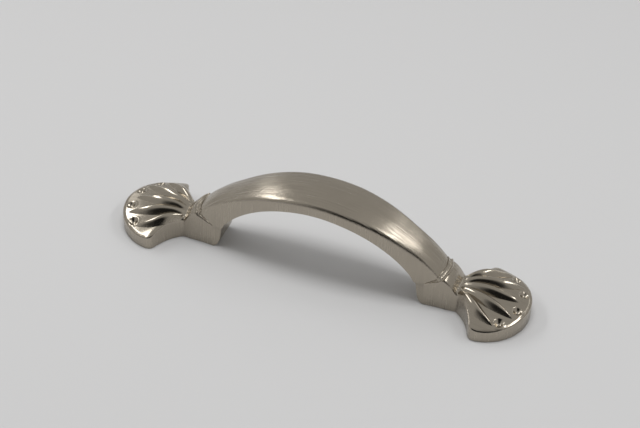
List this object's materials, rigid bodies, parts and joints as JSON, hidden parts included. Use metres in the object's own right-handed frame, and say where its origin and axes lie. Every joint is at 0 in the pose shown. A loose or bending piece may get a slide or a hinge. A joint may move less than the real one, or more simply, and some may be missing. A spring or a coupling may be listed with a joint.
{
  "type": "cabinet handle",
  "caption": "Cast metal drawer pull with an arched bar, beaded collars and fan-shaped ribbed end plates, hung from the back by hidden screws.",
  "frame": {"origin": "on the back plane, midway between the two screw holes, which is the centre of the box's base", "axes": "+X along the pull from one shell to the other, +Y across it, +Z away from the drawer front"},
  "size_m": [0.1316, 0.0288, 0.0298],
  "materials": {
    "brushed_nickel": "satin nickel plate: brushed along the bar and up the sides, brighter in the shells"
  },
  "bodies": {
    "root": {"handle_casting": "brushed_nickel"}
  },
  "joints": []
}
